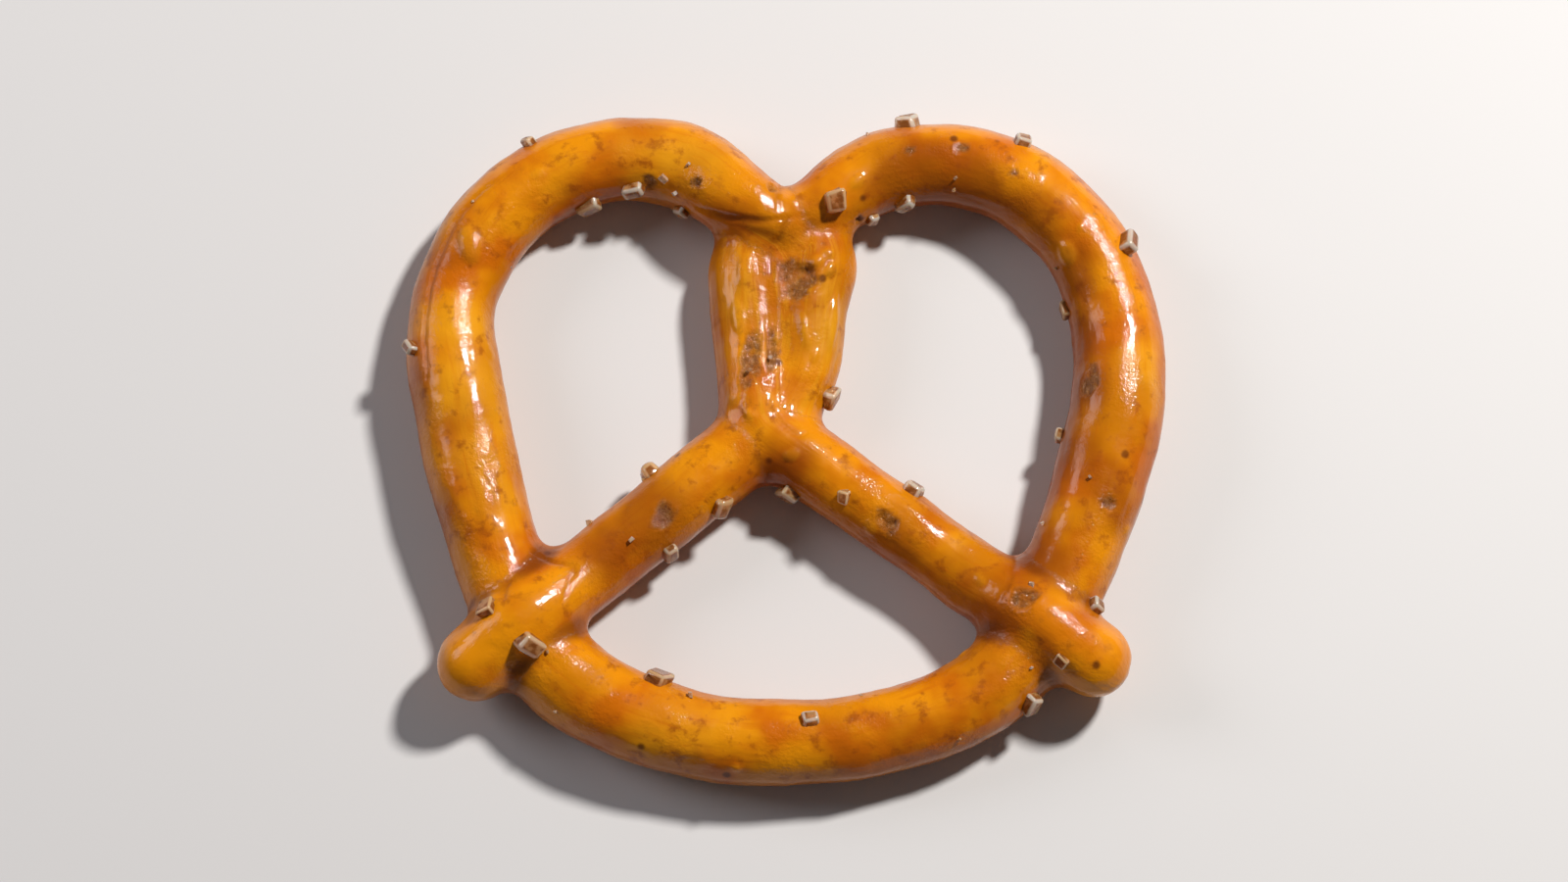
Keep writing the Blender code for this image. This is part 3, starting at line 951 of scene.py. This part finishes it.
shape = bmesh.new()
rim = shape.verts.layers.float.new("rim")
for number, (hit, out, size, turned) in enumerate(grains):
    draw = random.Random(number)
    half = Vector((0.5, draw.uniform(*GRAIN_WIDTH), draw.uniform(*GRAIN_HEIGHT))) * size
    cut_grain(shape, rim, half, hit, out, turned, draw)
bmesh.ops.recalc_face_normals(shape, faces=shape.faces)
for face in shape.faces:
    face.smooth = True
salt = object_from(shape, "salt")
print(f"{len(salt.data.polygons)} faces on the grains")

# %% [markdown]
# ## Salt crumbs
#
# Between the grains lie crumbs that broke off them. They matter more than their size suggests,
# because each one sparkles. They are small cubes with their corners pulled in at random, left
# with flat faces so that they glitter.

# %% Break the crumbs
CRUMB_SEED = 8
CRUMB_COUNT = 34
CRUMB_STRAY = 0.03
CRUMB_SPREAD = math.radians(80)
CRUMB_SIZE = (0.22 * MM, 0.62 * MM)
CRUMB_SIZE_POWER = 2.2  # above 1, most crumbs are small
CRUMB_LIFT = 0.15  # of its size, for a crumb in a scar
CRUMB_FLAT = 0.7
# Bits of broken grain left in the scars of the column, as x, y and size in millimetres.
SCAR_CRUMBS = ((-2.4, 4.4, 0.3), (-0.9, 5.4, 0.3))

draw = random.Random(CRUMB_SEED)
spots = []
for k in range(CRUMB_COUNT):
    along = (k * GOLDEN_SHARE + draw.uniform(-CRUMB_STRAY, CRUMB_STRAY)) % 1
    hit, out = around_rope(along, CRUMB_SPREAD * draw.uniform(-1, 1))
    size = CRUMB_SIZE[0] + (CRUMB_SIZE[1] - CRUMB_SIZE[0]) * draw.random() ** CRUMB_SIZE_POWER
    if hit is not None and out.z > 0 and abs(hit.x) > BARE_HALF_X:
        spots.append((hit, out, size))
for x, y, size in SCAR_CRUMBS:
    hit, out = on_crust(x, y)
    spots.append((hit + out * CRUMB_LIFT * size * MM, out, size * MM))

shape = bmesh.new()
rim = shape.verts.layers.float.new("rim")
for place, out, size in spots:
    crumb = bmesh.ops.create_cube(shape, size=size)["verts"]
    for vert in crumb:
        # Crumbs are pale like a grain's rim: cracked salt with a painted glint.
        vert[rim] = draw.uniform(0.7, 1)
        vert.co *= draw.uniform(0.6, 1.1)
        vert.co.z *= CRUMB_FLAT
    turn = Euler([draw.uniform(0, math.tau) for _ in range(3)]).to_matrix().to_4x4()
    set_on_crust(shape, crumb, place, out, turn)
bmesh.ops.recalc_face_normals(shape, faces=shape.faces)
crumbs = object_from(shape, "salt_crumbs")
print(f"{len(spots)} crumbs")

# %% [markdown]
# ## Setting it into the frame
#
# The stations were measured from the pretzel's axis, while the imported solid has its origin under
# the middle of its box. Moving all pieces by the difference between the two boxes puts the crust
# exactly where the solid is.

# %% Move the pieces to the solid's place
pieces = (crust, salt, crumbs)
low, high = (Vector(corner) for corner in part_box("pretzel"))
made = [vert.co for obj in (crust, salt) for vert in obj.data.vertices]
made_low, made_high = (
    Vector([pick(spot[axis] for spot in made) for axis in range(3)]) for pick in (min, max)
)
shift = (low + high - made_low - made_high) / 2
shift.z = low.z
for obj in pieces:
    obj.data.transform(Matrix.Translation(shift))
    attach(obj, "root")
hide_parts("pretzel")
print("moved by", [round(v / MM, 2) for v in shift], "mm")


# %% [markdown]
# ## Materials
#
# A few small helpers keep the node trees short. One adds a node and fills its inputs, where an
# input may be a value or another node's output. Others multiply two values, turn a pattern's
# range into a share, or lay colours over each other as glazes are laid.

# %% Helpers for nodes
def new_material(name):
    material = bpy.data.materials.new(name)
    material.use_nodes = True
    tree = material.node_tree
    return material, tree, tree.nodes["Principled BSDF"]


def set_inputs(shader, values):
    for socket, value in values.items():
        shader.inputs[socket].default_value = value


def node(tree, kind, inputs=(), **settings):
    """Adds a node. inputs holds pairs of socket name or number and a value or an output."""
    made = tree.nodes.new(kind)
    for name, value in settings.items():
        setattr(made, name, value)
    for socket, value in inputs:
        if isinstance(value, bpy.types.NodeSocket):
            tree.links.new(value, made.inputs[socket])
        else:
            made.inputs[socket].default_value = value
    return made


def mix_colour(tree, share, a, b):
    made = node(tree, "ShaderNodeMix", ((0, share), (6, a), (7, b)), data_type="RGBA")
    return made.outputs[2]


def glaze(tree, tone, layers):
    """Lays each layer's colour over the tone, by that layer's share, from first to last."""
    for share, colour in layers:
        tone = mix_colour(tree, share, tone, colour)
    return tone


def math_node(tree, operation, *values):
    return node(tree, "ShaderNodeMath", enumerate(values), operation=operation).outputs[0]


def times(tree, a, b):
    return math_node(tree, "MULTIPLY", a, b)


def map_range(tree, value, low, high, to_low=0.0, to_high=1.0):
    pairs = ((0, value), (1, low), (2, high), (3, to_low), (4, to_high))
    return node(tree, "ShaderNodeMapRange", pairs, interpolation_type="SMOOTHSTEP").outputs[0]


def noise_node(tree, places, size, detail=2.0, roughness=0.5, distortion=0.0):
    """Noise from 0 to 1 whose blotches are about as large as size, in metres."""
    pairs = (("Vector", places), ("Scale", 1 / size), ("Detail", detail))
    pairs += (("Roughness", roughness), ("Distortion", distortion))
    return node(tree, "ShaderNodeTexNoise", pairs).outputs[0]


def attribute(tree, name, output="Fac"):
    return node(tree, "ShaderNodeAttribute", attribute_name=name).outputs[output]


# %% [markdown]
# ## Colour of the crust
#
# A pretzel is dipped in lye before baking, which gives the crust its deep colour and its shine.
# The colour is built in layers. Golden and amber blotches come first, then streaks along the rope
# and fine mottling. Hollows and the sides of the rope get painted shade in brown, bulges get
# painted light in gold, and a table of areas adds browning, painted shade and painted light.
# One noise pattern for all of it would be simpler, but a crust is never that even.

# %% Golden, amber and brown
PALE_GOLD = (0.98, 0.47, 0.015, 1)
GOLDEN = (0.95, 0.345, 0.002, 1)
AMBER = (0.68, 0.165, 0.001, 1)
BROWN = (0.28, 0.055, 0.001, 1)
DEEP_BROWN = (0.10, 0.018, 0.002, 1)
STREAK_SCALE = (0.16, 1, 1)  # a pattern on it comes out six times as long as it is wide

crust_finish, tree, shader = new_material("baked_crust")
places = node(tree, "ShaderNodeTexCoord").outputs["Object"]
way = (("Vector", attribute(tree, "rope_way", "Vector")), ("Scale", STREAK_SCALE))
long_way = node(tree, "ShaderNodeMapping", way).outputs[0]
patches = noise_node(tree, places, 11 * MM, 2)
blotches = noise_node(tree, places, 5 * MM, 3)
streaks = noise_node(tree, long_way, 0.9 * MM, 3, 0.6, 1.3)
mottling = noise_node(tree, places, 1.3 * MM, 4, 0.6)
column = attribute(tree, "in_column")
painted_light_and_browning = attribute(tree, "browning_and_painted_light")
crease_shade = attribute(tree, "hollow")
drawn_out = times(tree, map_range(tree, streaks, 0.5, 0.38), column)

# Each layer is how much of it shows, and its colour.
tone = glaze(
    tree,
    AMBER,
    (
        (map_range(tree, blotches, 0.36, 0.6), GOLDEN),
        (map_range(tree, patches, 0.52, 0.68, 0, 0.45), BROWN),
        (map_range(tree, patches, 0.46, 0.34, 0, 0.3), PALE_GOLD),
        # Painted light: where the areas' sum is below zero, pale gold.
        (map_range(tree, painted_light_and_browning, -0.1, -0.9, 0, 0.6), PALE_GOLD),
        (map_range(tree, streaks, 0.52, 0.75, 0, 0.45), AMBER),
        (times(tree, drawn_out, 0.3), PALE_GOLD),
        (map_range(tree, mottling, 0.54, 0.72, 0, 0.65), BROWN),
        # Painted shade: the sides of the rope go browner as they turn away from the top.
        (times(tree, attribute(tree, "flank"), 0.6), BROWN),
        # Painted light: bulges, such as the tops of the rope, go golden.
        (times(tree, attribute(tree, "bulge"), 0.5), GOLDEN),
        # Browning, and painted shade in some areas: where the sum is above zero, brown.
        (map_range(tree, painted_light_and_browning, 0.05, 0.75, 0, 0.75), BROWN),
        (times(tree, attribute(tree, "blister"), 0.18), PALE_GOLD),
        # Painted shade: hollows and creases go brown, and the deepest go deep brown.
        (times(tree, crease_shade, 0.75), BROWN),
        (map_range(tree, crease_shade, 0.45, 0.95, 0, 0.6), DEEP_BROWN),
    ),
)
print(f"{len(tree.nodes)} nodes so far")

# %% [markdown]
# ## Freckles, scars and the underside
#
# Freckles are small dark dots. A Voronoi texture has one dot in each cell, and the cell's own
# random colour chooses about half of them. Scars are brown and crumbly, so a fine noise mixes
# three browns in them. The underside touched the hot belt and is duller.

# %% Lay them over the crust
SCAR_BROWN = (0.20, 0.07, 0.012, 1)
CRUMB_TAN = (0.40, 0.20, 0.075, 1)
UNDERSIDE = (0.50, 0.17, 0.015, 1)
FRECKLE_GAP = 3.2 * MM

cells = (("Vector", places), ("Scale", 1 / FRECKLE_GAP), ("Randomness", 1))
dots = node(tree, "ShaderNodeTexVoronoi", cells)
chosen = node(tree, "ShaderNodeSeparateColor", ((0, dots.outputs["Color"]),)).outputs[0]
freckle = map_range(tree, dots.outputs["Distance"], 0.13, 0.05)
freckle = times(tree, freckle, map_range(tree, chosen, 0.48, 0.54))

scarred = attribute(tree, "scar")
crumbly = noise_node(tree, places, 0.45 * MM, 4, 0.75, 0.3)
scar_layers = (
    (map_range(tree, crumbly, 0.36, 0.44), SCAR_BROWN),
    (map_range(tree, crumbly, 0.5, 0.68), CRUMB_TAN),
)
scar_tone = glaze(tree, DEEP_BROWN, scar_layers)
scar_share = times(tree, scarred, map_range(tree, mottling, 0.35, 0.55, 0.45, 0.9))
below = attribute(tree, "underside")
last_layers = (
    (times(tree, freckle, 0.8), DEEP_BROWN),
    (scar_share, scar_tone),
    (times(tree, below, 0.8), UNDERSIDE),
)
tree.links.new(glaze(tree, tone, last_layers), shader.inputs["Base Color"])
print(f"{len(tree.nodes)} nodes so far")

# %% [markdown]
# ## Shine of the crust
#
# The shine has two parts: the crust itself, rougher where it is brown, and a thin clear coat on
# top of it. Scars, the underside and the drawn skin of the column are duller. Very fine bumps
# break up the highlights, as they do on the real thing. They are too small to be mesh, so they
# are the only part of the relief that is left to a Bump node.

# %% Roughness, coat and bumps
COLUMN_DULL = 0.35
SCAR_DULL = 0.75
DULL_ROUGHER = 0.36
BUMP_HEIGHT = 0.036 * MM

dull = math_node(tree, "MAXIMUM", times(tree, scarred, SCAR_DULL), below)
dull = math_node(tree, "MAXIMUM", dull, times(tree, column, COLUMN_DULL))
uneven = map_range(tree, mottling, 0.4, 0.7, 0.3, 0.46)
roughness = math_node(tree, "ADD", uneven, times(tree, dull, DULL_ROUGHER))
tree.links.new(roughness, shader.inputs["Roughness"])
set_inputs(
    shader,
    {"Specular IOR Level": 0.08, "Coat Weight": 0.6, "Coat Roughness": 0.08, "Coat IOR": 1.45},
)

rough_patch = map_range(tree, noise_node(tree, places, 3.5 * MM, 2), 0.42, 0.6, 0.5, 2.2)
height = times(tree, noise_node(tree, places, 0.28 * MM, 3, 0.6), rough_patch)
for more in (
    times(tree, noise_node(tree, long_way, 0.4 * MM, 2, 0.5), 0.8),
    times(tree, mottling, 0.6),
    times(tree, times(tree, crumbly, scarred), 5),
):
    height = math_node(tree, "ADD", height, more)
pairs = (("Strength", 0.7), ("Distance", BUMP_HEIGHT), ("Height", height))
bump = node(tree, "ShaderNodeBump", pairs).outputs[0]
tree.links.new(bump, shader.inputs["Normal"])
tree.links.new(bump, shader.inputs["Coat Normal"])
crust.data.materials.append(crust_finish)
print(f"{len(tree.nodes)} nodes in the crust")

# %% [markdown]
# ## Clear salt
#
# Salt is clear where it is sound and white where it is cracked. Glass alone would be too clean
# at this size, so the material lets about half of the light through and scatters the rest just
# under its surface. The clear middle of a grain takes on the colour of the crust below it. The
# rim is pale, partly the white of cracked salt and partly a painted glint where the rounded edge
# catches the light, and the rim attribute says where it is.

# %% Salt material
# The rim colours are partly cracked salt and partly a painted glint on the rounded edge.
SALT_RIM = (0.93, 0.60, 0.31, 1)
SALT_WHITE = (0.98, 0.84, 0.70, 1)
SALT_CLEAR = (0.36, 0.12, 0.02, 1)
SALT_CLOUD = (0.70, 0.38, 0.15, 1)

salt_finish, tree, shader = new_material("clear_salt")
places = node(tree, "ShaderNodeTexCoord").outputs["Object"]
cloud = noise_node(tree, places, 0.8 * MM, 3, 0.6)
inside = mix_colour(tree, map_range(tree, cloud, 0.42, 0.62), SALT_CLEAR, SALT_CLOUD)
whiter = map_range(tree, noise_node(tree, places, 7 * MM, 1), 0.45, 0.6)
edge = mix_colour(tree, whiter, SALT_RIM, SALT_WHITE)
at_rim = map_range(tree, attribute(tree, "rim"), 0.62, 1.0)
tree.links.new(mix_colour(tree, at_rim, inside, edge), shader.inputs["Base Color"])
tree.links.new(map_range(tree, cloud, 0.35, 0.65, 0.07, 0.25), shader.inputs["Roughness"])
set_inputs(
    shader,
    {
        "Transmission Weight": 0.5,
        "IOR": 1.54,
        "Subsurface Weight": 0.5,
        "Subsurface Radius": (1.0, 0.8, 0.6),
        "Subsurface Scale": 0.6 * MM,
    },
)
for obj in (salt, crumbs):
    obj.data.materials.append(salt_finish)
print(f"{len(tree.nodes)} nodes in the salt")

# %% [markdown]
# ## Floor
#
# The pretzel lies on a plain pale floor, one large square at the height of the solid's lowest
# point.

# %% Floor
FLOOR_HALF = 0.6
FLOOR_COLOUR = (0.72, 0.71, 0.71, 1)

shape = bmesh.new()
bmesh.ops.create_grid(shape, x_segments=1, y_segments=1, size=FLOOR_HALF)
bmesh.ops.translate(shape, vec=(0, 0, cad_bounds[0][2]), verts=shape.verts)
floor = object_from(shape, "floor")
floor_finish, tree, shader = new_material("pale_floor")
set_inputs(shader, {"Base Color": FLOOR_COLOUR, "Roughness": 0.6})
floor.data.materials.append(floor_finish)
print(f"a floor {2 * FLOOR_HALF:.1f} m wide")

# %% [markdown]
# ## Light
#
# The key light stands behind the pretzel on the right, which puts long highlights on the upper
# right of every rope and shadows to the lower left. A larger, weaker light on the left, like a
# window, lays a faint veil on the other side of the ropes, and the world adds an even glow.

# %% Lights
# Place in metres, size across in metres, power in watts, and colour.
LIGHTS = {
    "key": ((0.24, 0.22, 0.36), 0.06, 2.75, (1.0, 0.97, 0.93)),
    "window": ((-0.34, 0.12, 0.22), 0.2, 0.45, (0.98, 0.95, 1.0)),
}
WORLD_COLOUR = (0.97, 0.98, 1.0, 1)
WORLD_STRENGTH = 0.075

for name, (place, size, power, colour) in LIGHTS.items():
    light = bpy.data.lights.new(name, "AREA")
    light.shape = "DISK"
    light.size = size
    light.energy = power
    light.color = colour
    lamp = bpy.data.objects.new(name, light)
    lamp.location = place
    lamp.rotation_euler = Vector(place).to_track_quat("Z", "Y").to_euler()
    bpy.context.scene.collection.objects.link(lamp)
world = bpy.data.worlds.new("studio")
world.use_nodes = True
glow = {"Color": WORLD_COLOUR, "Strength": WORLD_STRENGTH}
set_inputs(world.node_tree.nodes["Background"], glow)
bpy.context.scene.world = world
bpy.context.scene.view_settings.view_transform = "Standard"  # keeps strong oranges strong
print(len(LIGHTS), "lights and a glow")

# %% [markdown]
# ## Camera
#
# The camera looks down at a steep angle, with the lobes away from it, so that the crossed side
# faces it almost squarely. A long lens keeps the near and the far side the same size.

# %% Camera
ELEVATION = math.radians(76)
DISTANCE = 0.31
LENS = 100  # millimetres

target = (low + high) / 2
eye = bpy.data.cameras.new("camera")
eye.lens = LENS
camera = bpy.data.objects.new("camera", eye)
camera.location = target + DISTANCE * Vector((0, -math.cos(ELEVATION), math.sin(ELEVATION)))
camera.rotation_euler = (camera.location - target).to_track_quat("Z", "Y").to_euler()
bpy.context.scene.collection.objects.link(camera)
bpy.context.scene.camera = camera
print(f"the camera is {DISTANCE / MM:.0f} mm from the pretzel")
